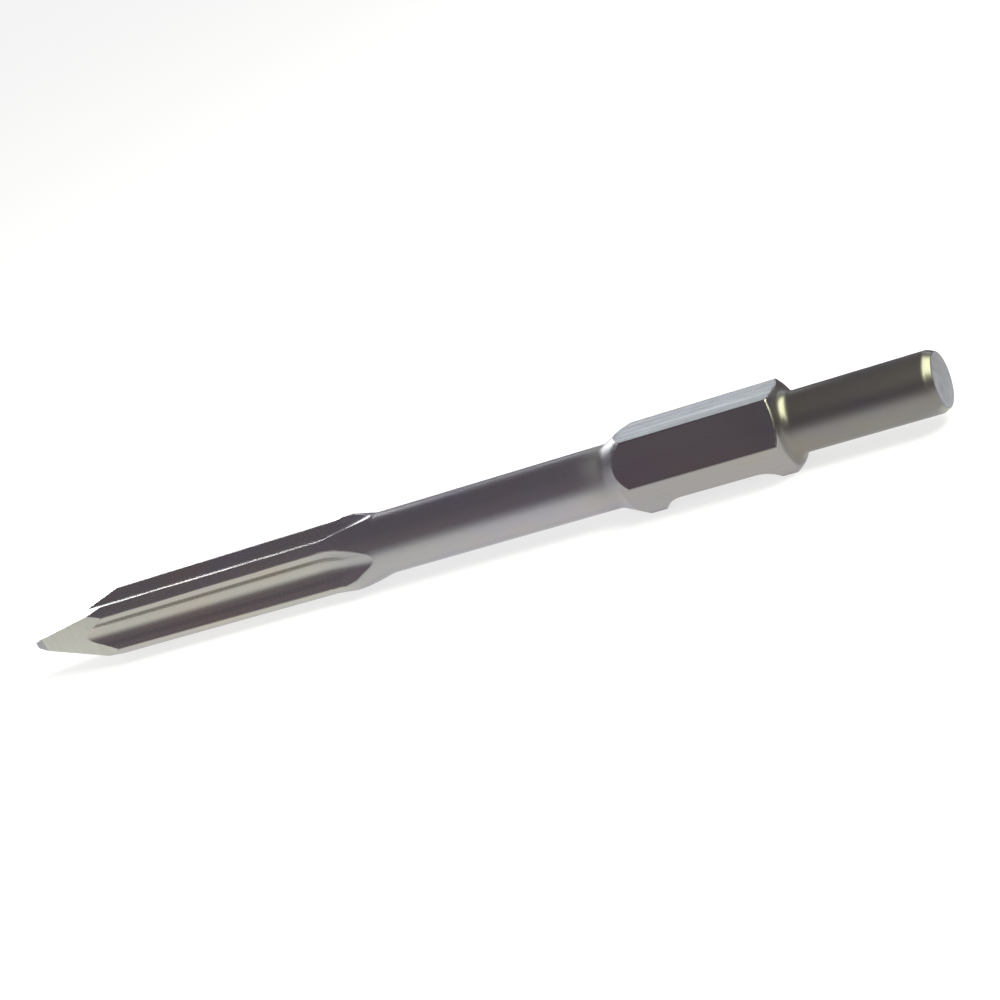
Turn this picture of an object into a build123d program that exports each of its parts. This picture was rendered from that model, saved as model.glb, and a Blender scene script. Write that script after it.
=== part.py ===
from build123d import *

import os
from math import cos, radians, sin, tan

# All lengths are in millimetres and all angles in degrees.
# A station is a distance along the axis from the striking end.

# Whole bit
LENGTH = 410.0

# Striking shank, with its end chamfered and eased
SHANK_DIAMETER = 22.7
SHANK_LENGTH = 55.3
END_FACE_DIAMETER = 20.2
END_CHAMFER_LENGTH = 2.8
END_FACE_ROUNDING = 0.6
END_CHAMFER_ROUNDING = 3.0

# Hexagonal guide, measured between the feet of its two shoulders
ACROSS_FLATS = 30.0
GUIDE_LENGTH = 72.7
GUIDE_CORNER_RADIUS = 1.2
GUIDE_CREST_ROUNDING = 0.6
REAR_SHOULDER_ANGLE = 60.0
REAR_SHOULDER_FILLET = 4.0
FRONT_SHOULDER_ANGLE = 25.0
FRONT_SHOULDER_FILLET = 6.0

# Retainer notch across the guide's lower flat, its middle measured from the rear shoulder's foot
NOTCH_SETBACK = 32.4
NOTCH_FLOOR_LENGTH = 30.0
NOTCH_END_RADIUS = 10.25
NOTCH_DEPTH = 4.4

# Round shaft between the guide and the forged point
SHAFT_DIAMETER = 24.4
SHAFT_LENGTH = 103.0

# Forged point: the swell behind it and the long taper of its lands
SWELL_DIAMETER = 30.5
SWELL_RISE_LENGTH = 14.5
SWELL_FALL_LENGTH = 10.5
SWELL_FOOT_FILLET = 12.0
SWELL_CREST_FILLET = 20.0
LAND_DIAMETER = 28.66
LAND_TAPER_ANGLE = 0.245
LAND_FILLET = 30.0

# Flutes: rounded V grooves whose floors ramp out through the swell
FLUTE_COUNT = 4
WEB_RADIUS = 8.5
FLUTE_FLOOR_RADIUS = 6.0
FLUTE_WALL_ANGLE = 25.0
FLUTE_LIP_RADIUS = 1.2
RUNOUT_LENGTH = 21.0
RUNOUT_ANGLE = 10.7
RUNOUT_RADIUS = 40.0

# Ground point: four long facets, and a blunt steeper tip
FACET_ANGLE = 11.66
TIP_WIDTH = 6.0
TIP_ANGLE = 18.0
TIP_END_WIDTH = 2.4
TIP_ROUNDING = 0.8

# How far cutting shapes reach past the bit, and the slack for picking edges by their place
OVERRUN = 10.0
SLACK = 0.1

# Stations of the shaft's ends, and the drum that the hexagon's sharp corners would just touch
SHAFT_START = SHANK_LENGTH + GUIDE_LENGTH
SHAFT_END = SHAFT_START + SHAFT_LENGTH
DRUM_RADIUS = ACROSS_FLATS / 2 / cos(radians(30))


def along(station: float) -> float:
    """X of a station: the striking end faces +X, and the origin is at mid-length."""
    return LENGTH / 2 - station


def cone_run(height: float, angle: float) -> float:
    """Length along the axis in which a slope at the given angle to it climbs the given height."""
    return height / tan(radians(angle))


def rear_fillet() -> float:
    """Fillet at the rear shoulder's foot, ending four fifths of the way up to the flats at most."""
    slope = radians(REAR_SHOULDER_ANGLE)
    wall = (ACROSS_FLATS - SHANK_DIAMETER) / 2 / sin(slope)
    return min(REAR_SHOULDER_FILLET, 0.8 * wall / tan(slope / 2))


def turned_blank() -> Part:
    """Round blank: shank, a drum for the guide between its two cones, shaft, swell and taper.

    It is turned about its axis so that the seam of its faces lies on a land, clear of the flutes.
    """
    shank = SHANK_DIAMETER / 2
    shaft = SHAFT_DIAMETER / 2
    land = LAND_DIAMETER / 2
    swell_top = SHAFT_END + SWELL_RISE_LENGTH
    taper_start = swell_top + SWELL_FALL_LENGTH
    taper_end = land - (LENGTH - taper_start) * tan(radians(LAND_TAPER_ANGLE))
    rear_cone = cone_run(DRUM_RADIUS - shank, REAR_SHOULDER_ANGLE)
    front_cone = cone_run(DRUM_RADIUS - shaft, FRONT_SHOULDER_ANGLE)
    corners = [
        (0, END_FACE_DIAMETER / 2, END_FACE_ROUNDING),
        (END_CHAMFER_LENGTH, shank, END_CHAMFER_ROUNDING),
        (SHANK_LENGTH, shank, rear_fillet()),
        (SHANK_LENGTH + rear_cone, DRUM_RADIUS, 0),
        (SHAFT_START - front_cone, DRUM_RADIUS, 0),
        (SHAFT_START, shaft, FRONT_SHOULDER_FILLET),
        (SHAFT_END, shaft, SWELL_FOOT_FILLET),
        (swell_top, SWELL_DIAMETER / 2, SWELL_CREST_FILLET),
        (taper_start, land, LAND_FILLET),
        (LENGTH, taper_end, 0),
    ]
    centre = [(along(0), 0), (along(LENGTH), 0)]
    points = [centre[0], *((along(station), radius) for station, radius, _ in corners), centre[1]]
    outline = FilletPolyline(*points, radius=[rounding for _, _, rounding in corners])
    section = make_face([*outline.edges(), Line(centre[1], centre[0])])
    return Rot(X=180 / FLUTE_COUNT) * revolve(section, Axis.X)


def guide_trim() -> Part:
    """What is cut from the drum to leave the hexagon, with flats at the top and the bottom."""
    hexagon = RegularPolygon(ACROSS_FLATS / 2, 6, major_radius=False)
    hexagon = fillet(hexagon.vertices(), GUIDE_CORNER_RADIUS)
    ring = Circle(DRUM_RADIUS + OVERRUN) - hexagon
    return extrude(Plane.YZ.offset(along(SHAFT_START)) * ring, GUIDE_LENGTH)


def crest_edges(bit: Part) -> ShapeList[Edge]:
    """Edges where the guide's flats and corners run into its two cones."""
    flat = ACROSS_FLATS / 2
    rear = SHANK_LENGTH + cone_run(flat - SHANK_DIAMETER / 2, REAR_SHOULDER_ANGLE)
    front = SHAFT_START - cone_run(flat - SHAFT_DIAMETER / 2, FRONT_SHOULDER_ANGLE)
    on_guide = bit.edges().filter_by_position(Axis.X, along(front) - SLACK, along(rear) + SLACK)
    return on_guide.filter_by(Axis.X, reverse=True)


def retainer_notch() -> Part:
    """Straight-floored notch with round ends, milled right across the lower flat."""
    profile = SlotCenterToCenter(NOTCH_FLOOR_LENGTH, 2 * NOTCH_END_RADIUS)
    centre_height = NOTCH_DEPTH - NOTCH_END_RADIUS - ACROSS_FLATS / 2
    place = Plane.XZ * Pos(along(SHANK_LENGTH + NOTCH_SETBACK), centre_height)
    return extrude(place * profile, DRUM_RADIUS + OVERRUN, both=True)


def flute_section() -> Sketch:
    """Rounded V with its lowest point at the origin and its mouth open above."""
    slope = radians(FLUTE_WALL_ANGLE)
    apex = -FLUTE_FLOOR_RADIUS * (1 / cos(slope) - 1)
    reach = SWELL_DIAMETER
    mouth = apex + reach * tan(slope)
    section = Polygon((0, apex), (reach, mouth), (-reach, mouth), align=None)
    return fillet(section.vertices().sort_by(Axis.Y)[0], FLUTE_FLOOR_RADIUS)


def flute() -> Part:
    """One flute above the axis: level floor, then a ramp that leaves the bit beside the shaft."""
    ramp_start = SHAFT_END + RUNOUT_LENGTH
    ramp_height = SWELL_DIAMETER / 2
    ramp_end = ramp_start - cone_run(ramp_height, RUNOUT_ANGLE)
    floor = [
        (along(LENGTH + OVERRUN), 0, WEB_RADIUS),
        (along(ramp_start), 0, WEB_RADIUS),
        (along(ramp_end), 0, WEB_RADIUS + ramp_height),
    ]
    path = FilletPolyline(*floor, radius=RUNOUT_RADIUS)
    return sweep(Plane(origin=floor[0], x_dir=(0, 1, 0), z_dir=(1, 0, 0)) * flute_section(), path)


def lip_edges(blank: Part, fluted: Part) -> ShapeList[Edge]:
    """Edges between the flutes and the lands, without those on the blank's far end."""
    cut_edges = new_edges(blank, combined=fluted)
    return cut_edges.filter_by(lambda edge: edge.center().X > along(LENGTH - OVERRUN))


def ground_side() -> Part:
    """What grinding takes off above the point: one long facet and its part of the blunt tip."""
    tip_start = LENGTH - cone_run((TIP_WIDTH - TIP_END_WIDTH) / 2, TIP_ANGLE)
    height = SWELL_DIAMETER / 2 + OVERRUN
    facet_start = tip_start - cone_run(height - TIP_WIDTH / 2, FACET_ANGLE)
    removed = Polygon(
        (along(facet_start), height),
        (along(tip_start), TIP_WIDTH / 2),
        (along(LENGTH), TIP_END_WIDTH / 2),
        (along(LENGTH + OVERRUN), TIP_END_WIDTH / 2),
        (along(LENGTH + OVERRUN), height),
        align=None,
    )
    return extrude(Plane.XZ * removed, SWELL_DIAMETER, both=True)


def around_axis(shape: Part) -> list[Part]:
    """Copies of a shape, one for each flute, evenly spaced round the axis."""
    return [Rot(X=360 / FLUTE_COUNT * turn) * shape for turn in range(FLUTE_COUNT)]


def chisel_bit() -> Part:
    """The whole bit, lying on its notched flat with its axis level."""
    blank = turned_blank() - guide_trim()
    blank = fillet(crest_edges(blank), GUIDE_CREST_ROUNDING)
    fluted = blank - around_axis(flute())
    fluted = fillet(lip_edges(blank, fluted), FLUTE_LIP_RADIUS)
    ground = fluted - around_axis(ground_side())
    tip_face = ground.faces().sort_by(Axis.X)[0]
    ground = fillet(tip_face.edges(), min(TIP_ROUNDING, TIP_END_WIDTH / 3))
    return Pos(Z=ACROSS_FLATS / 2) * (ground - retainer_notch())


os.makedirs("parts", exist_ok=True)
export_step(chisel_bit(), "parts/chisel_bit.step")
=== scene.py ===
"""Looks of the forged point chisel bit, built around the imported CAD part.

The bit is one forged, turned and ground piece of bare steel, so the CAD solid itself is shown. This
script gives it its finishes: turned shank and shaft, milled hexagon, forged flutes, ground facets.
"""

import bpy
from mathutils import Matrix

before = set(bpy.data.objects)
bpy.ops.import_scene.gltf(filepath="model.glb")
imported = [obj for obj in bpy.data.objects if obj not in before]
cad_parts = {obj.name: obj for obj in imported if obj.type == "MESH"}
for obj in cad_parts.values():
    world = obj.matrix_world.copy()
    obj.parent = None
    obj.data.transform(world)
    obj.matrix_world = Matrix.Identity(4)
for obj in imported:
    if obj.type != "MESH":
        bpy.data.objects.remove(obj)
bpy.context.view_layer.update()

import logging
import math
from dataclasses import dataclass, field
from enum import Enum
from typing import Optional, Union

import bmesh
import bpy
from mathutils import Euler, Vector

Colour = tuple[float, float, float, float]
Triple = tuple[float, float, float]
Span = tuple[float, float]
Outline = tuple[tuple[float, float], ...]
Socket = bpy.types.NodeSocket
Value = Union[float, Socket]

LOG = logging.getLogger("chisel_bit")
MM = 0.001

WHITE: Colour = (1, 1, 1, 1)


class Marks(Enum):
    """The way in which a finish was cut, which sets how its fine lines run."""

    ROUND = "round the axis"
    ALONG = "along the axis"
    ACROSS = "across the axis"


class Axis(Enum):
    """An axis of the shared frame: X along the bit, Y across it and Z up."""

    X = 0
    Y = 1
    Z = 2


@dataclass(frozen=True)
class Finish:
    """How one worked surface of the bit looks.

    Args:
        name: What the surface is called in the node tree.
        colour: Colour of the bare steel there.
        roughness: Mean roughness.
        marks: The way its fine lines run.
        mark_strength: How much the lines change colour and roughness, from 0 to 1.
        mottle: How much the colour varies in soft patches, from 0 to 1.
    """

    name: str
    colour: Colour
    roughness: float
    marks: Marks
    mark_strength: float
    mottle: float

    def shifted(self, shift: Triple) -> Colour:
        """The finish's colour with its red, green and blue multiplied by three factors."""
        return (*(part * factor for part, factor in zip(self.colour, shift)), 1)


SHANK = Finish("turned shank", (0.264, 0.258, 0.234, 1), 0.33, Marks.ROUND, 0.25, 0.90)
END_FACE = Finish("faced end", (0.215, 0.222, 0.248, 1), 0.42, Marks.ACROSS, 0.70, 0.80)
GUIDE = Finish("milled guide", (0.375, 0.370, 0.362, 1), 0.20, Marks.ALONG, 0.40, 0.50)
SHAFT = Finish("turned shaft", (0.422, 0.418, 0.430, 1), 0.30, Marks.ROUND, 0.20, 0.60)
FLUTES = Finish("forged flutes", (0.490, 0.480, 0.448, 1), 0.26, Marks.ALONG, 0.35, 0.90)
LANDS = Finish("ground lands", (0.515, 0.503, 0.465, 1), 0.28, Marks.ALONG, 0.40, 0.50)
FACETS = Finish("ground facets", (0.610, 0.622, 0.570, 1), 0.44, Marks.ACROSS, 0.45, 0.30)
TIP = Finish("blunt tip", (0.430, 0.430, 0.455, 1), 0.50, Marks.ACROSS, 0.70, 0.90)


@dataclass(frozen=True)
class Blend:
    """Where one finish runs into the next.

    Args:
        station: Its middle, as a distance from the striking end in millimetres.
        length: The length of the change in millimetres.
    """

    station: float
    length: float


@dataclass(frozen=True)
class Grain:
    """One noise pattern.

    Args:
        scale: Its scale.
        detail: Its octaves.
        roughness: How strong the fine octaves are.
    """

    scale: float
    detail: float
    roughness: float


@dataclass(frozen=True)
class BitStations:
    """Places along the bit and radii that bound its surfaces, in millimetres.

    Args:
        length: The bit's length.
        axis_height: Height of the axis above the floor.
        face_end: Where the end face runs into the shank.
        guide_start: Where the shank runs into the guide.
        shaft_start: Where the guide runs into the shaft.
        rough_start: Where the front shoulder's rougher foot starts.
        rough_end: Where that foot ends.
        flute_start: Where the shaft runs into the flutes.
        tip: Where the facets run into the blunt tip.
        tip_half_width: Half the width of the point where the blunt tip starts.
        facet_angle: Slope of the facets to the axis in degrees.
        facet_edge: Heights over the facets' planes between which their finish sets in.
        land_edge: Radii between which the flutes run into the lands.
        wall_hollow: Radii between which the flutes' walls are hollow.
        hollow_depth: Depth of that hollow.
    """

    length: float = 410.0
    axis_height: float = 15.0
    face_end: Blend = Blend(0.25, 0.3)
    guide_start: Blend = Blend(57.4, 0.8)
    shaft_start: Blend = Blend(122.0, 3.0)
    rough_start: Blend = Blend(123.0, 8.0)
    rough_end: Blend = Blend(135.0, 12.0)
    flute_start: Blend = Blend(251.0, 26.0)
    tip: Blend = Blend(404.46, 0.1)
    tip_half_width: float = 3.0
    facet_angle: float = 11.66
    facet_edge: Span = (-0.10, -0.02)
    land_edge: Span = (13.0, 13.9)
    wall_hollow: Span = (10.0, 12.1)
    hollow_depth: float = 0.66


class NodeBench:
    """Short ways to add and wire shader nodes in one tree."""

    NODE_SPACING = (190, 160)
    NODE_ROWS = 5
    # Sockets of the Mix node by number, because several of them share one name
    MIX_NUMBERS = (2, 3)
    MIX_COLOURS = (6, 7)
    MIXED_COLOUR = 2

    def __init__(self, tree: bpy.types.NodeTree) -> None:
        """Works on the node tree of a material or a group."""
        self.tree = tree
        self.column = 0

    def add(self, kind: str, label: str = "") -> bpy.types.Node:
        """Adds a node.

        Args:
            kind: The node's type name.
            label: What it is labelled as.

        Returns:
            The new node.
        """
        across, down = self.NODE_SPACING
        node = self.tree.nodes.new(kind)
        node.label = label
        node.location = (self.column * across, -(self.column % self.NODE_ROWS) * down)
        self.column += 1
        return node

    def wire(self, value: Union[Value, Colour, Vector], socket: Socket) -> None:
        """Links a socket, or sets a plain value.

        Args:
            value: An output socket, or a number, colour or vector.
            socket: The input to feed.
        """
        if isinstance(value, bpy.types.NodeSocket):
            self.tree.links.new(value, socket)
        else:
            socket.default_value = value

    def math(self, operation: str, *values: Value, clamp: bool = False) -> Socket:
        """Adds a Math node.

        Args:
            operation: The operation's name.
            values: Its inputs in order.
            clamp: Whether the result is kept from 0 to 1.

        Returns:
            The result.
        """
        node = self.add("ShaderNodeMath")
        node.operation = operation
        node.use_clamp = clamp
        for value, socket in zip(values, node.inputs):
            self.wire(value, socket)
        return node.outputs[0]

    def ramp_up(self, value: Value, low: Value, high: Value) -> Socket:
        """A smooth step from 0 at low to 1 at high.

        Args:
            value: What is stepped.
            low: Where the step starts.
            high: Where it ends.

        Returns:
            The step, from 0 to 1.
        """
        node = self.add("ShaderNodeMapRange")
        node.interpolation_type = "SMOOTHSTEP"
        for index, item in enumerate((value, low, high, 0.0, 1.0)):
            self.wire(item, node.inputs[index])
        return node.outputs[0]

    def spread(self, value: Value, low: float, high: float) -> Socket:
        """Maps 0 to 1 onto low to high.

        Args:
            value: A value from 0 to 1.
            low: The result at 0.
            high: The result at 1.

        Returns:
            The mapped value.
        """
        node = self.add("ShaderNodeMapRange")
        for index, item in enumerate((value, 0.0, 1.0, low, high)):
            self.wire(item, node.inputs[index])
        return node.outputs[0]

    def mix(self, factor: Value, low: Value, high: Value) -> Socket:
        """Blends two numbers.

        Args:
            factor: 0 for low and 1 for high.
            low: The first number.
            high: The second number.

        Returns:
            The blend.
        """
        node = self.add("ShaderNodeMix")
        node.data_type = "FLOAT"
        self.wire(factor, node.inputs[0])
        for index, item in zip(self.MIX_NUMBERS, (low, high)):
            self.wire(item, node.inputs[index])
        return node.outputs[0]

    def tint(
        self,
        factor: Value,
        low: Union[Socket, Colour],
        high: Union[Socket, Colour],
        blend: str = "MIX",
    ) -> Socket:
        """Blends two colours.

        Args:
            factor: 0 for low and 1 for high.
            low: The first colour.
            high: The second colour.
            blend: The blend mode.

        Returns:
            The blended colour.
        """
        node = self.add("ShaderNodeMix")
        node.data_type = "RGBA"
        node.blend_type = blend
        self.wire(factor, node.inputs[0])
        for index, item in zip(self.MIX_COLOURS, (low, high)):
            self.wire(item, node.inputs[index])
        return node.outputs[self.MIXED_COLOUR]

    def stretched(self, vector: Socket, scale: Triple) -> Socket:
        """Scales a vector along each axis, so that a pattern on it is stretched."""
        return self.moved(vector, scale, "MULTIPLY")

    def moved(self, vector: Socket, amount: Triple, operation: str = "ADD") -> Socket:
        """Changes a vector by a fixed one.

        Args:
            vector: The place on the surface.
            amount: The fixed vector.
            operation: What is done with the two.

        Returns:
            The changed vector.
        """
        node = self.add("ShaderNodeVectorMath")
        node.operation = operation
        self.wire(vector, node.inputs[0])
        self.wire(Vector(amount), node.inputs[1])
        return node.outputs[0]

    def noise(self, vector: Socket, grain: Grain) -> Socket:
        """Adds a Noise texture.

        Args:
            vector: The place on the surface.
            grain: The noise's scale and octaves.

        Returns:
            The noise, from 0 to 1.
        """
        node = self.add("ShaderNodeTexNoise")
        self.wire(vector, node.inputs["Vector"])
        self.wire(grain.scale, node.inputs["Scale"])
        self.wire(grain.detail, node.inputs["Detail"])
        self.wire(grain.roughness, node.inputs["Roughness"])
        return node.outputs[0]

    def seen_rays(self) -> Socket:
        """Tells what is seen, straight on or in metal or glass, from what only lights.

        Returns:
            1 for camera, glossy and transmission rays, and 0 for others.
        """
        path = self.add("ShaderNodeLightPath")
        seen = self.math("MAXIMUM", path.outputs["Is Camera Ray"], path.outputs["Is Glossy Ray"])
        return self.math("MAXIMUM", seen, path.outputs["Is Transmission Ray"])


@dataclass
class EffectGroup:
    """A shader node group that reads the place on the bit, built once and placed in materials.

    Args:
        name: The group's name.
        numbers: Names of its number inputs, with the value that each has at first.
        outputs: Names of its outputs, which are numbers too.
        tree: Its node tree, once it is made.
    """

    name: str
    numbers: dict[str, float]
    outputs: tuple[str, ...]
    tree: Optional[bpy.types.NodeTree] = None

    def shell(self) -> tuple[NodeBench, bpy.types.Node, bpy.types.Node]:
        """Makes the empty group.

        Returns:
            Its bench, its input node and its output node.
        """
        self.tree = bpy.data.node_groups.new(self.name, "ShaderNodeTree")
        sockets = self.tree.interface
        sockets.new_socket("Place", in_out="INPUT", socket_type="NodeSocketVector")
        for name, value in self.numbers.items():
            socket = sockets.new_socket(name, in_out="INPUT", socket_type="NodeSocketFloat")
            socket.default_value = value
        for name in self.outputs:
            sockets.new_socket(name, in_out="OUTPUT", socket_type="NodeSocketFloat")
        bench = NodeBench(self.tree)
        return bench, bench.add("NodeGroupInput"), bench.add("NodeGroupOutput")

    def place(self, bench: NodeBench, **values: Value) -> bpy.types.Node:
        """Places the group in a tree.

        Args:
            bench: The bench of that tree.
            values: Its inputs by name.

        Returns:
            The group's node.
        """
        node = bench.add("ShaderNodeGroup", self.name)
        node.node_tree = self.tree
        for name, value in values.items():
            bench.wire(value, node.inputs[name])
        return node


class WorkingLines(EffectGroup):
    """Fine lines that a tool left: rings round the axis, or lines along or across it."""

    STRETCH = {
        Marks.ROUND: (2600.0, 9.0, 9.0),
        Marks.ALONG: (14.0, 1500.0, 1500.0),
        Marks.ACROSS: (1700.0, 160.0, 160.0),
    }
    BROAD_SHARE = 0.22
    FINE_GRAIN = Grain(1.0, 3.0, 0.6)
    BROAD_GRAIN = Grain(1.0, 2.0, 0.5)
    PATCH_GRAIN = Grain(55.0, 2.0, 0.5)
    FADED_LEVEL = 0.5
    FINE_STEP = (0.25, 0.75)
    BROAD_STEP = (0.3, 0.7)

    def __init__(self, marks: Marks) -> None:
        """Builds the group for one way of working.

        Args:
            marks: The way the lines run.
        """
        super().__init__(f"lines {marks.value}", {"Wander": 0.3}, ("Lines", "Broad"))
        bench, given, result = self.shell()
        place = given.outputs["Place"]
        fine_stretch = self.STRETCH[marks]
        broad_stretch = tuple(factor * self.BROAD_SHARE for factor in fine_stretch)
        fine = bench.noise(bench.stretched(place, fine_stretch), self.FINE_GRAIN)
        broad = bench.noise(bench.stretched(place, broad_stretch), self.BROAD_GRAIN)
        patch = bench.noise(place, self.PATCH_GRAIN)
        faded = bench.math("MULTIPLY", given.outputs["Wander"], patch)
        lines = bench.mix(faded, fine, self.FADED_LEVEL)
        bench.wire(bench.ramp_up(lines, *self.FINE_STEP), result.inputs["Lines"])
        bench.wire(bench.ramp_up(broad, *self.BROAD_STEP), result.inputs["Broad"])


class SoftPatches(EffectGroup):
    """Soft patches of colour, such as heat and handling leave on bare steel."""

    STRETCH = (22.0, 40.0, 40.0)
    COOL_OFFSET = (7.3, 3.1, 5.7)
    PATCH_GRAIN = Grain(1.0, 2.0, 0.5)
    PATCH_STEP = (0.48, 0.72)
    CLOUD_GRAIN = Grain(210.0, 4.0, 0.6)

    def __init__(self) -> None:
        """Builds the group."""
        super().__init__("soft patches", {"Strength": 0.4}, ("Warm", "Cool", "Cloud"))
        bench, given, result = self.shell()
        place, strength = given.outputs["Place"], given.outputs["Strength"]
        along = bench.stretched(place, self.STRETCH)
        beside = bench.moved(along, self.COOL_OFFSET)
        warm = bench.ramp_up(bench.noise(along, self.PATCH_GRAIN), *self.PATCH_STEP)
        cool = bench.ramp_up(bench.noise(beside, self.PATCH_GRAIN), *self.PATCH_STEP)
        bench.wire(bench.math("MULTIPLY", warm, strength), result.inputs["Warm"])
        bench.wire(bench.math("MULTIPLY", cool, strength), result.inputs["Cool"])
        bench.wire(bench.noise(place, self.CLOUD_GRAIN), result.inputs["Cloud"])


class ForgeSkin(EffectGroup):
    """The faint dimples and pits of a forged and blasted surface."""

    DIMPLE_GRAIN = Grain(240.0, 2.0, 0.5)
    DIMPLE_SHARE = 0.7
    FINE_GRAIN = Grain(1900.0, 3.0, 0.6)
    FINE_SHARE = 0.3
    PIT_GRAIN = Grain(1300.0, 2.0, 0.5)
    PIT_STEP = (0.66, 0.76)
    PIT_DEPTH = 0.4

    def __init__(self) -> None:
        """Builds the group."""
        super().__init__("forge skin", {}, ("Height", "Pits"))
        bench, given, result = self.shell()
        place = given.outputs["Place"]
        dimples = bench.math("MULTIPLY", bench.noise(place, self.DIMPLE_GRAIN), self.DIMPLE_SHARE)
        fine = bench.math("MULTIPLY", bench.noise(place, self.FINE_GRAIN), self.FINE_SHARE)
        pits = bench.ramp_up(bench.noise(place, self.PIT_GRAIN), *self.PIT_STEP)
        sunk = bench.math("MULTIPLY", pits, self.PIT_DEPTH)
        height = bench.math("SUBTRACT", bench.math("ADD", dimples, fine), sunk)
        bench.wire(height, result.inputs["Height"])
        bench.wire(pits, result.inputs["Pits"])


class EdgeWear(EffectGroup):
    """Where an edge stands out enough to be rubbed bright."""

    BEVEL_SAMPLES = 6
    BEVEL_RADIUS = 0.5 * MM
    EDGE_STEP = (0.004, 0.06)
    CHIP_GRAIN = Grain(420.0, 3.0, 0.6)
    CHIP_STEP = (0.3, 0.62)

    def __init__(self) -> None:
        """Builds the group."""
        super().__init__("edge wear", {"Breakup": 0.5}, ("Wear",))
        bench, given, result = self.shell()
        rounded = bench.add("ShaderNodeBevel")
        rounded.samples = self.BEVEL_SAMPLES
        rounded.inputs["Radius"].default_value = self.BEVEL_RADIUS
        plain = bench.add("ShaderNodeNewGeometry")
        compared = bench.add("ShaderNodeVectorMath")
        compared.operation = "DOT_PRODUCT"
        bench.wire(rounded.outputs[0], compared.inputs[0])
        bench.wire(plain.outputs["Normal"], compared.inputs[1])
        turned = bench.math("SUBTRACT", 1.0, compared.outputs["Value"])
        edge = bench.ramp_up(turned, *self.EDGE_STEP)
        chips = bench.ramp_up(bench.noise(given.outputs["Place"], self.CHIP_GRAIN), *self.CHIP_STEP)
        worn = bench.mix(given.outputs["Breakup"], 1.0, chips)
        bench.wire(bench.math("MULTIPLY", edge, worn), result.inputs["Wear"])


@dataclass(frozen=True)
class SteelLook:
    """How strongly lines, patches, forging and handling show on the bare steel.

    Args:
        warm_shift: Factors for red, green and blue in a warm patch.
        cool_shift: The same in a cool patch.
        line_shade: How much darker a strong line is.
        line_swing: How much a strong line changes roughness.
        shoulder_rough: How much rougher the foot of the front shoulder is.
        pit_colour: Colour in a pit.
        pit_share: How much of that colour a pit takes.
        pit_rough: How much rougher a pit is.
        rub_colour: Colour of a rubbed edge.
        rub_share: How much of that colour an edge takes.
        rub_polish: How much smoother an edge is.
        smear: How much handling changes roughness either way.
        drawn_height: Height of the lines in the flutes and lands.
        dimple_heights: Height of the forge skin in the flutes and on the lands.
        ground_height: Height of the lines on the facets.
        bump_strength: Strength of the fine relief.
        bump_distance: Its depth in metres.
    """

    warm_shift: Triple = (1.06, 0.97, 0.90)
    cool_shift: Triple = (0.96, 0.95, 1.10)
    line_shade: float = 0.16
    line_swing: float = 0.10
    shoulder_rough: float = 0.16
    pit_colour: Colour = (0.20, 0.17, 0.15, 1)
    pit_share: float = 0.25
    pit_rough: float = 0.3
    rub_colour: Colour = (0.70, 0.69, 0.66, 1)
    rub_share: float = 0.5
    rub_polish: float = 0.16
    smear: float = 0.035
    drawn_height: float = 0.35
    dimple_heights: Span = (3.0, 0.8)
    ground_height: float = 2.0
    bump_strength: float = 0.35
    bump_distance: float = 0.012 * MM


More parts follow.
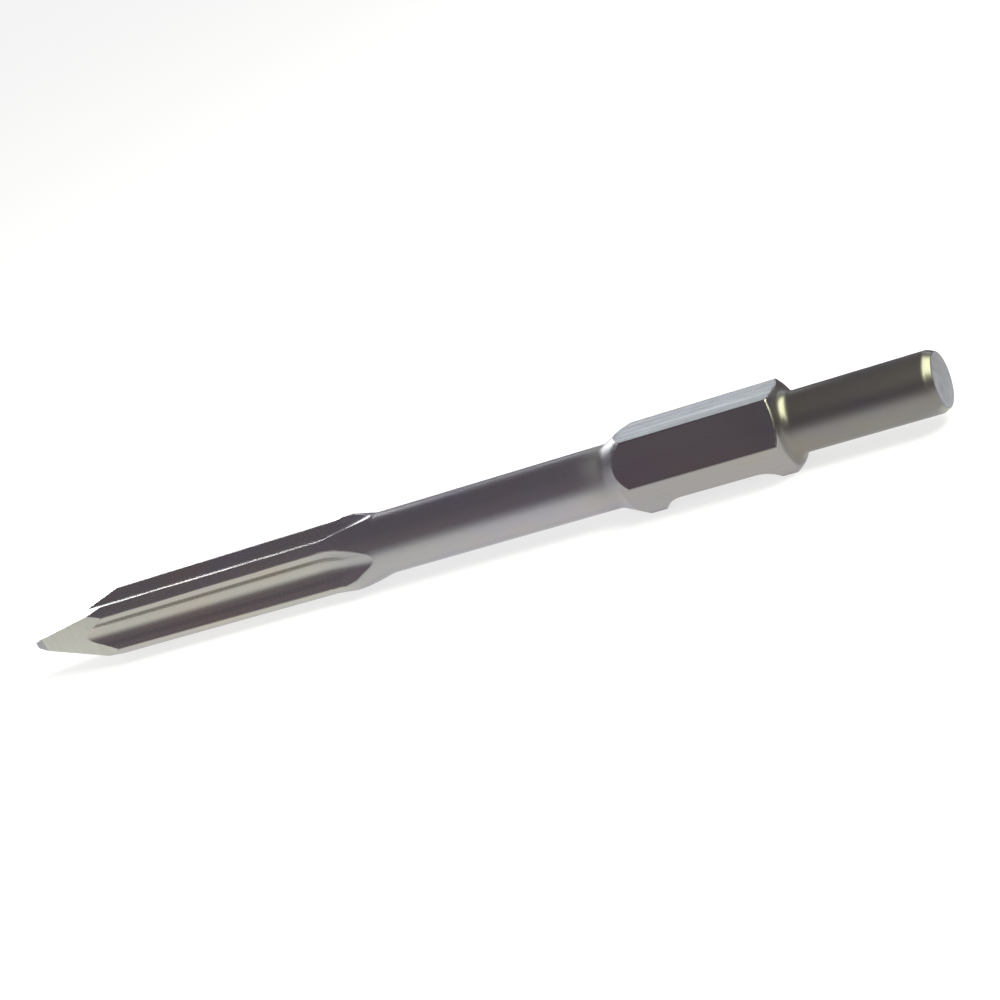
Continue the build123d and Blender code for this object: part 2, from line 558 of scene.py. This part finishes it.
@dataclass
class BitSurface:
    """The bit's one material, whose finishes change with the place along and round the bit.

    Args:
        stations: Where its surfaces begin and end.
        look: How strongly lines, patches, forging and handling show.
    """

    stations: BitStations
    look: SteelLook = field(default_factory=SteelLook)

    def build(self) -> bpy.types.Material:
        """Makes the material.

        Returns:
            The finished material.
        """
        material = bpy.data.materials.new("bare_chisel_steel")
        material.use_nodes = True
        bench = NodeBench(material.node_tree)
        shader = material.node_tree.nodes["Principled BSDF"]
        shader.inputs["Metallic"].default_value = 1.0
        place = bench.add("ShaderNodeTexCoord").outputs["Object"]
        masks = self.zones(bench, place)
        lines = {marks: WorkingLines(marks).place(bench, Place=place) for marks in Marks}
        patches = SoftPatches().place(bench, Place=place, Strength=1.0)
        skin = ForgeSkin().place(bench, Place=place)
        wear = EdgeWear().place(bench, Place=place)
        colour, rough = self.layered(bench, masks, lines, patches)
        colour, rough = self.aged(bench, (colour, rough), patches, skin, wear, masks["forged"])
        bench.wire(colour, shader.inputs["Base Color"])
        bench.wire(rough, shader.inputs["Roughness"])
        bench.wire(self.relief(bench, masks, lines, skin), shader.inputs["Normal"])
        return material

    def zones(self, bench: NodeBench, place: Socket) -> dict[str, Socket]:
        """Masks for the finishes, worked out from the place on the bit.

        Args:
            bench: The material's bench.
            place: Object coordinates.

        Returns:
            A mask from 0 to 1 for each zone.
        """
        size = self.stations
        split = bench.add("ShaderNodeSeparateXYZ")
        bench.wire(place, split.inputs[0])
        station = bench.math("SUBTRACT", size.length / 2 * MM, split.outputs["X"])
        side = bench.math("ABSOLUTE", split.outputs["Y"])
        rise = bench.math("ABSOLUTE", bench.math("SUBTRACT", split.outputs["Z"], size.axis_height * MM))
        squared = bench.math("ADD", bench.math("POWER", side, 2.0), bench.math("POWER", rise, 2.0))
        radius = bench.math("SQRT", squared)
        fluted = self.past(bench, station, size.flute_start)
        tip = self.past(bench, station, size.tip)
        facet = bench.math("MAXIMUM", self.ground(bench, station, side, rise), tip)
        before_end = bench.math("SUBTRACT", 1.0, self.past(bench, station, size.rough_end))
        return {
            "shank": self.past(bench, station, size.face_end),
            "guide": self.past(bench, station, size.guide_start),
            "shaft": self.past(bench, station, size.shaft_start),
            "shoulder": bench.math("MULTIPLY", self.past(bench, station, size.rough_start), before_end),
            "fluted": fluted,
            "forged": bench.math("MULTIPLY", fluted, bench.math("SUBTRACT", 1.0, facet)),
            "wall": self.between(bench, radius, size.wall_hollow),
            "land": self.between(bench, radius, size.land_edge),
            "facet": facet,
            "tip": tip,
        }

    @staticmethod
    def between(bench: NodeBench, value: Socket, span: Span) -> Socket:
        """A smooth step from 0 at the first to 1 at the second of two lengths in millimetres."""
        return bench.ramp_up(value, span[0] * MM, span[1] * MM)

    def past(self, bench: NodeBench, station: Socket, blend: Blend) -> Socket:
        """A mask that is 1 past a blend, for a distance from the striking end."""
        half = blend.length / 2
        return self.between(bench, station, (blend.station - half, blend.station + half))

    def ground(self, bench: NodeBench, station: Socket, side: Socket, rise: Socket) -> Socket:
        """Where the surface lies on one of the four facets.

        Args:
            bench: The material's bench.
            station: The distance from the striking end.
            side: The distance from the axis, sideways.
            rise: The distance from the axis, up or down.

        Returns:
            The mask.
        """
        size = self.stations
        slope = math.tan(math.radians(size.facet_angle))
        to_tip = bench.math("SUBTRACT", size.tip.station * MM, station)
        facet_height = bench.math("MULTIPLY_ADD", to_tip, slope, size.tip_half_width * MM)
        above = bench.math("SUBTRACT", bench.math("MAXIMUM", side, rise), facet_height)
        return self.between(bench, above, size.facet_edge)

    def layered(
        self,
        bench: NodeBench,
        masks: dict[str, Socket],
        lines: dict[Marks, bpy.types.Node],
        patches: bpy.types.Node,
    ) -> tuple[Socket, Socket]:
        """Lays the finishes over each other, from the striking end to the point.

        Args:
            bench: The material's bench.
            masks: The zones' masks.
            lines: The working lines' nodes.
            patches: The soft patches' node.

        Returns:
            The colour and the roughness.
        """
        layers = (
            (SHANK, masks["shank"]),
            (GUIDE, masks["guide"]),
            (SHAFT, masks["shaft"]),
            (FLUTES, masks["fluted"]),
            (LANDS, bench.math("MULTIPLY", masks["fluted"], masks["land"])),
            (FACETS, masks["facet"]),
            (TIP, masks["tip"]),
        )
        colour, rough = self.finished(bench, END_FACE, lines, patches)
        for finish, mask in layers:
            own_colour, own_rough = self.finished(bench, finish, lines, patches)
            colour = bench.tint(mask, colour, own_colour)
            rough = bench.mix(mask, rough, own_rough)
        return colour, bench.math("MULTIPLY_ADD", masks["shoulder"], self.look.shoulder_rough, rough)

    def finished(
        self,
        bench: NodeBench,
        finish: Finish,
        lines: dict[Marks, bpy.types.Node],
        patches: bpy.types.Node,
    ) -> tuple[Socket, Socket]:
        """Colour and roughness of one finish with its lines and patches.

        Args:
            bench: The material's bench.
            finish: The finish.
            lines: The working lines' nodes.
            patches: The soft patches' node.

        Returns:
            The colour and the roughness.
        """
        look = self.look
        own = lines[finish.marks]
        warmth = bench.math("MULTIPLY", patches.outputs["Warm"], finish.mottle)
        coolness = bench.math("MULTIPLY", patches.outputs["Cool"], finish.mottle)
        colour = bench.tint(warmth, finish.colour, finish.shifted(look.warm_shift))
        colour = bench.tint(coolness, colour, finish.shifted(look.cool_shift))
        shade = bench.spread(own.outputs["Lines"], 1 - look.line_shade * finish.mark_strength, 1.0)
        grey = bench.add("ShaderNodeCombineColor", finish.name)
        for socket in grey.inputs:
            bench.wire(shade, socket)
        colour = bench.tint(1.0, colour, grey.outputs[0], "MULTIPLY")
        swing = look.line_swing * finish.mark_strength
        lined = bench.spread(own.outputs["Lines"], finish.roughness + swing, finish.roughness - swing)
        rough = bench.math("ADD", lined, bench.spread(own.outputs["Broad"], -swing / 2, swing / 2))
        return colour, rough

    def aged(
        self,
        bench: NodeBench,
        worked: tuple[Socket, Socket],
        patches: bpy.types.Node,
        skin: bpy.types.Node,
        wear: bpy.types.Node,
        forged: Socket,
    ) -> tuple[Socket, Socket]:
        """Adds what forging and handling left on top of the finishes.

        Args:
            bench: The material's bench.
            worked: The colour and the roughness so far.
            patches: The soft patches' node.
            skin: The forge skin's node.
            wear: The edge wear's node.
            forged: Where the surface is as forged.

        Returns:
            The colour and the roughness.
        """
        look = self.look
        colour, rough = worked
        pits = bench.math("MULTIPLY", skin.outputs["Pits"], forged)
        pits = bench.math("MULTIPLY", pits, look.pit_share)
        rubbed = bench.math("MULTIPLY", wear.outputs["Wear"], look.rub_share)
        colour = bench.tint(pits, colour, look.pit_colour)
        colour = bench.tint(rubbed, colour, look.rub_colour)
        rough = bench.math("ADD", rough, bench.spread(patches.outputs["Cloud"], -look.smear, look.smear))
        rough = bench.math("SUBTRACT", rough, bench.math("MULTIPLY", rubbed, look.rub_polish))
        rough = bench.math("ADD", rough, bench.math("MULTIPLY", pits, look.pit_rough), clamp=True)
        return colour, rough

    def relief(
        self,
        bench: NodeBench,
        masks: dict[str, Socket],
        lines: dict[Marks, bpy.types.Node],
        skin: bpy.types.Node,
    ) -> Socket:
        """The fine height of the surface, as a normal.

        Args:
            bench: The material's bench.
            masks: The zones' masks.
            lines: The working lines' nodes.
            skin: The forge skin's node.

        Returns:
            The bumped normal.
        """
        look = self.look
        rings, along, across = (lines[marks].outputs["Lines"] for marks in Marks)
        dimpled = bench.spread(masks["land"], *look.dimple_heights)
        skinned = bench.math("MULTIPLY", skin.outputs["Height"], dimpled)
        skinned = bench.math("ADD", bench.math("MULTIPLY", along, look.drawn_height), skinned)
        height = bench.mix(masks["shank"], across, rings)
        height = bench.mix(masks["guide"], height, along)
        height = bench.mix(masks["shaft"], height, rings)
        height = bench.mix(masks["forged"], height, skinned)
        height = bench.mix(masks["facet"], height, bench.math("MULTIPLY", across, look.ground_height))
        hollow = bench.add("ShaderNodeBump", "hollow flute walls")
        hollow.inputs["Distance"].default_value = self.stations.hollow_depth * MM
        bench.wire(bench.math("MULTIPLY", masks["wall"], masks["forged"]), hollow.inputs["Height"])
        bump = bench.add("ShaderNodeBump", "lines and forge skin")
        bump.inputs["Strength"].default_value = look.bump_strength
        bump.inputs["Distance"].default_value = look.bump_distance
        bench.wire(height, bump.inputs["Height"])
        bench.wire(hollow.outputs["Normal"], bump.inputs["Normal"])
        return bump.outputs["Normal"]


@dataclass
class ForgedBit:
    """The chisel bit itself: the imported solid, dressed in its finishes.

    Args:
        node: The solid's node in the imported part.
        stations: Where its surfaces begin and end.
    """

    node: str = "chisel_bit"
    stations: BitStations = field(default_factory=BitStations)

    def dress(self) -> bpy.types.Object:
        """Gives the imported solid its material.

        Returns:
            The solid's object.
        """
        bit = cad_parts[self.node]
        material = BitSurface(self.stations).build()
        for slot in bit.material_slots:
            slot.material = material
        return bit


class Glow(Enum):
    """What the cards shine with, from the darkest to the brightest."""

    DARK = (0.168, 0.147, 0.180, 1)
    BROWN = (0.205, 0.168, 0.195, 1)
    DIM = (0.34, 0.325, 0.34, 1)
    MIDDLE = (0.50, 0.49, 0.49, 1)
    LIGHT = (0.97, 0.955, 0.915, 1)
    BRIGHT = (1.55, 1.69, 1.80, 1)
    WARM = (4.2, 4.35, 3.1, 1)
    GLARING = (6.8, 6.9, 7.0, 1)


@dataclass(frozen=True)
class Fade:
    """How a card changes from its own light to another.

    Args:
        axis: The axis along which it changes.
        start: Where the change starts, in metres.
        end: Where it ends, in metres.
        glow: The light it ends with.
    """

    axis: Axis
    start: float
    end: float
    glow: Glow


# It starts far above every card, so that a card with it keeps its own light
STEADY = Fade(Axis.Z, 50.0, 60.0, Glow.DARK)


@dataclass(frozen=True)
class Card:
    """A flat card of the studio, seen only in reflections.

    Args:
        name: The card's name.
        faces: The axis that it faces.
        place: Where it stands on that axis, in metres.
        outline: Its corners on the other two axes, in metres.
        glow: What it shines with.
        fade: How that light changes over it.
    """

    name: str
    faces: Axis
    place: float
    outline: Outline
    glow: Glow
    fade: Fade = STEADY

    def make(self) -> None:
        """Makes the card and keeps it out of everything but reflections."""
        mesh = bpy.data.meshes.new(self.name)
        shape = bmesh.new()
        shape.faces.new([shape.verts.new(corner) for corner in self.corners()])
        shape.to_mesh(mesh)
        shape.free()
        mesh.materials.append(self.material())
        made = bpy.data.objects.new(self.name, mesh)
        bpy.context.scene.collection.objects.link(made)
        made.visible_camera = False
        made.visible_diffuse = False
        made.visible_shadow = False
        made.visible_transmission = False

    def corners(self) -> list[Triple]:
        """The card's corners in metres."""
        at = self.faces.value
        return [(*pair[:at], self.place, *pair[at:]) for pair in self.outline]

    def material(self) -> bpy.types.Material:
        """Makes the card's light.

        Returns:
            The material.
        """
        material = bpy.data.materials.new(self.name)
        material.use_nodes = True
        tree = material.node_tree
        tree.nodes.clear()
        bench = NodeBench(tree)
        shine = bench.add("ShaderNodeEmission")
        bench.wire(self.light(bench), shine.inputs["Color"])
        out = bench.add("ShaderNodeOutputMaterial")
        bench.wire(shine.outputs[0], out.inputs["Surface"])
        return material

    def light(self, bench: NodeBench) -> Socket:
        """Works out the card's light from the place on it.

        A steady light passes through the same nodes, so that all the cards are sampled alike.

        Args:
            bench: The bench of the card's material.

        Returns:
            The colour of the light.
        """
        split = bench.add("ShaderNodeSeparateXYZ")
        bench.wire(bench.add("ShaderNodeTexCoord").outputs["Object"], split.inputs[0])
        along = split.outputs[self.fade.axis.value]
        faded = bench.ramp_up(along, self.fade.start, self.fade.end)
        return bench.tint(faded, self.glow.value, self.fade.glow.value)


@dataclass
class CardRoom:
    """The cards round the bit, whose reflections draw its bright and dark bands, in metres.

    Args:
        width: Left and right ends of the room.
        depth: Front and back of the room.
        height: Just over the floor, and the roof.
        layer: How far one card stands in front of another.
        floor_step: Where the light floor beside the bit gives way to the middle floor.
        floor_edge: The light floor's edge under the bit.
        floor_fade: Where the light floor darkens towards the front.
        front_fade: How far forward the floor goes on darkening.
        wall_fade: The height at which the front wall has turned brown.
        roof_fade: Where the roof darkens towards the back.
        band: Left end, lower edge and upper edge of the back wall's bright band.
        glare: Left end, right end and upper edge of the back wall's glaring card.
        glare_corner: What is left out of the glaring card, near the floor.
        back_shade: The dark floor behind the bit, wider towards the back.
        end_shade: Left end and front edge of the dark floor past the striking end.
        flag_place: Where the dark flag stands, over the front shoulder.
        flag_outline: The flag's corners.
        warm_height: Height of the warm card.
        warm_outline: The warm card's corners.
    """

    width: Span = (-9.0, 4.0)
    depth: Span = (-3.0, 4.4)
    height: Span = (0.0008, 2.2)
    layer: float = 0.01
    floor_step: float = -0.16
    floor_edge: float = -0.0095
    floor_fade: Span = (-0.012, -0.13)
    front_fade: float = -1.2
    wall_fade: float = 0.9
    roof_fade: Span = (-2.4, -1.2)
    band: Triple = (-2.45, 1.47, 2.12)
    glare: Triple = (-6.5, -3.12, 2.15)
    glare_corner: Outline = ((-4.0, 0.0008), (-3.12, 0.0008), (-3.12, 0.95), (-3.75, 0.75))
    back_shade: Outline = ((-0.075, 0.05), (0.16, 0.05), (2.0, 4.4), (-2.75, 4.4))
    end_shade: Span = (0.30, -0.02)
    flag_place: float = 0.085
    flag_outline: Outline = ((-0.62, 0.10), (0.42, 0.10), (0.42, 0.70), (-0.62, 0.70))
    warm_height: float = 1.16
    warm_outline: Outline = (
        (0.28, -1.35),
        (0.60, -1.35),
        (0.72, -0.70),
        (1.80, -0.70),
        (1.80, 0.95),
        (0.28, 0.95),
    )

    def build(self) -> None:
        """Makes all the cards."""
        for card in (*self.front(), *self.back_wall(), *self.dark_floors(), *self.hung()):
            card.make()

    @staticmethod
    def rectangle(across: Span, up: Span) -> Outline:
        """Outline of a rectangle over two spans."""
        return ((across[0], up[0]), (across[1], up[0]), (across[1], up[1]), (across[0], up[1]))

    def front(self) -> tuple[Card, ...]:
        """Floor in front of the bit, front wall and roof, which darken in turn with their distance.

        Returns:
            The cards.
        """
        near = self.depth[0]
        low, roof = self.height
        light = self.rectangle(self.width, (self.floor_step, self.floor_edge))
        middle = self.rectangle(self.width, (near, self.floor_step))
        wall = self.rectangle(self.width, self.height)
        ceiling = self.rectangle(self.width, self.depth)
        to_middle = Fade(Axis.Y, *self.floor_fade, Glow.MIDDLE)
        to_dim = Fade(Axis.Y, self.floor_step, self.front_fade, Glow.DIM)
        to_brown = Fade(Axis.Z, low, self.wall_fade, Glow.BROWN)
        to_dark = Fade(Axis.Y, *self.roof_fade, Glow.DARK)
        return (
            Card("near_floor", Axis.Z, low, light, Glow.LIGHT, to_middle),
            Card("front_floor", Axis.Z, low, middle, Glow.MIDDLE, to_dim),
            Card("front_wall", Axis.Y, near, wall, Glow.DIM, to_brown),
            Card("roof_card", Axis.Z, roof, ceiling, Glow.BROWN, to_dark),
        )

    def back_wall(self) -> tuple[Card, ...]:
        """Back wall: glaring on the left but for a low corner, dark on the right with a bright band.

        Returns:
            The cards.
        """
        right, far, low = self.width[1], self.depth[1], self.height[0]
        band_left, band_low, band_high = self.band
        glare_left, bend, glare_high = self.glare
        bright = self.rectangle((band_left, right), (band_low, band_high))
        dark = self.rectangle((bend, right), self.height)
        glaring = self.rectangle((glare_left, bend), (low, glare_high))
        return (
            Card("back_band", Axis.Y, far - 2 * self.layer, bright, Glow.BRIGHT),
            Card("back_dark", Axis.Y, far, dark, Glow.DARK),
            Card("back_left", Axis.Y, far, glaring, Glow.GLARING),
            Card("back_corner", Axis.Y, far - self.layer, self.glare_corner, Glow.DARK),
        )

    def dark_floors(self) -> tuple[Card, ...]:
        """Dark floor behind the bit and past its striking end.

        Returns:
            The cards.
        """
        right, far, low = self.width[1], self.depth[1], self.height[0]
        end, end_front = self.end_shade
        past_end = self.rectangle((end, right), (end_front, far))
        return (
            Card("back_floor", Axis.Z, low, self.back_shade, Glow.DARK),
            Card("end_floor", Axis.Z, 2 * low, past_end, Glow.DARK),
        )

    def hung(self) -> tuple[Card, ...]:
        """Dark flag over the front shoulder, warm card above it and dark wall past the striking end.

        Returns:
            The cards.
        """
        wall = self.rectangle(self.depth, self.height)
        return (
            Card("flag", Axis.X, self.flag_place, self.flag_outline, Glow.DARK),
            Card("warm_card", Axis.Z, self.warm_height, self.warm_outline, Glow.WARM),
            Card("end_card", Axis.X, self.width[1], wall, Glow.DARK),
        )


@dataclass(frozen=True)
class Lamp:
    """The soft round lamp over the bit, which isn't seen in reflections.

    Args:
        name: The lamp's name.
        place: Where it hangs, in metres.
        diameter: Its diameter in metres.
        power: Its power in watts.
        colour: Its colour.
    """

    name: str = "overhead"
    place: Triple = (0.84, 0.07, 1.12)
    diameter: float = 1.1
    power: float = 34.0
    colour: Triple = (1.0, 0.98, 0.86)

    def hang(self) -> None:
        """Adds the lamp, turned towards the bit."""
        data = bpy.data.lights.new(self.name, "AREA")
        data.shape = "DISK"
        data.size = self.diameter
        data.energy = self.power
        data.color = self.colour
        lamp = bpy.data.objects.new(self.name, data)
        lamp.location = self.place
        lamp.rotation_euler = (-Vector(self.place)).to_track_quat("-Z", "Y").to_euler()
        lamp.visible_glossy = False
        bpy.context.scene.collection.objects.link(lamp)


@dataclass
class Studio:
    """Pale floor, white surround, soft lamp, cards that shape the reflections, and the camera.

    Args:
        floor_half: Half the floor's side in metres.
        floor_colour: The floor's colour.
        floor_roughness: Its roughness.
        floor_shine: The strength that makes the floor white to the eye.
        surround: Strength of the surround where it lights, and where it is seen.
        camera_place: Where the camera stands, in metres.
        camera_turn: How it is turned, in degrees.
        lens: Its focal length in millimetres.
        sensor: The width of its sensor in millimetres.
        clip: The nearest and the farthest that it sees, in metres.
    """

    floor_half: float = 12.0
    floor_colour: Colour = (0.35, 0.35, 0.35, 1)
    floor_roughness: float = 0.9
    floor_shine: float = 0.69
    surround: Span = (0.6, 1.0)
    camera_place: Triple = (0.444581, -0.715789, 0.308566)
    camera_turn: Triple = (68.482925, 25.677412, 20.482630)
    lens: float = 84.06
    sensor: float = 36.0
    clip: Span = (0.01, 60.0)

    def build(self) -> None:
        """Sets the whole stage."""
        bpy.context.scene.view_settings.view_transform = "Standard"
        self.floor()
        CardRoom().build()
        self.world()
        Lamp().hang()
        self.camera()

    def floor(self) -> None:
        """Makes the pale floor, white to the eye and with the bit's soft shadow."""
        mesh = bpy.data.meshes.new("floor")
        shape = bmesh.new()
        bmesh.ops.create_grid(shape, x_segments=1, y_segments=1, size=self.floor_half)
        shape.to_mesh(mesh)
        shape.free()
        ground = bpy.data.objects.new("floor", mesh)
        bpy.context.scene.collection.objects.link(ground)
        material = bpy.data.materials.new("pale_floor")
        material.use_nodes = True
        bench = NodeBench(material.node_tree)
        shader = material.node_tree.nodes["Principled BSDF"]
        shader.inputs["Base Color"].default_value = self.floor_colour
        shader.inputs["Roughness"].default_value = self.floor_roughness
        shader.inputs["Specular IOR Level"].default_value = 0.0
        shader.inputs["Emission Color"].default_value = WHITE
        shine = bench.math("MULTIPLY", bench.seen_rays(), self.floor_shine)
        bench.wire(shine, shader.inputs["Emission Strength"])
        mesh.materials.append(material)

    def world(self) -> None:
        """Sets a plain white surround, weaker where it only lights than where it is seen."""
        world = bpy.data.worlds.new("studio")
        bpy.context.scene.world = world
        world.use_nodes = True
        background = world.node_tree.nodes["Background"]
        background.inputs["Color"].default_value = WHITE
        bench = NodeBench(world.node_tree)
        strength = bench.spread(bench.seen_rays(), *self.surround)
        bench.wire(strength, background.inputs["Strength"])

    def camera(self) -> None:
        """Puts the camera where the photograph was taken from."""
        data = bpy.data.cameras.new("camera")
        data.lens = self.lens
        data.sensor_width = self.sensor
        data.clip_start, data.clip_end = self.clip
        made = bpy.data.objects.new("camera", data)
        made.location = self.camera_place
        made.rotation_euler = Euler([math.radians(turn) for turn in self.camera_turn], "XYZ")
        bpy.context.scene.collection.objects.link(made)
        bpy.context.scene.camera = made


def main() -> None:
    """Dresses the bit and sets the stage."""
    logging.basicConfig(level=logging.INFO, format="%(name)s: %(message)s")
    bit = ForgedBit().dress()
    LOG.info("%s dressed, %d faces", bit.name, len(bit.data.polygons))
    Studio().build()
    LOG.info("studio set")


if __name__ == "__main__":
    main()
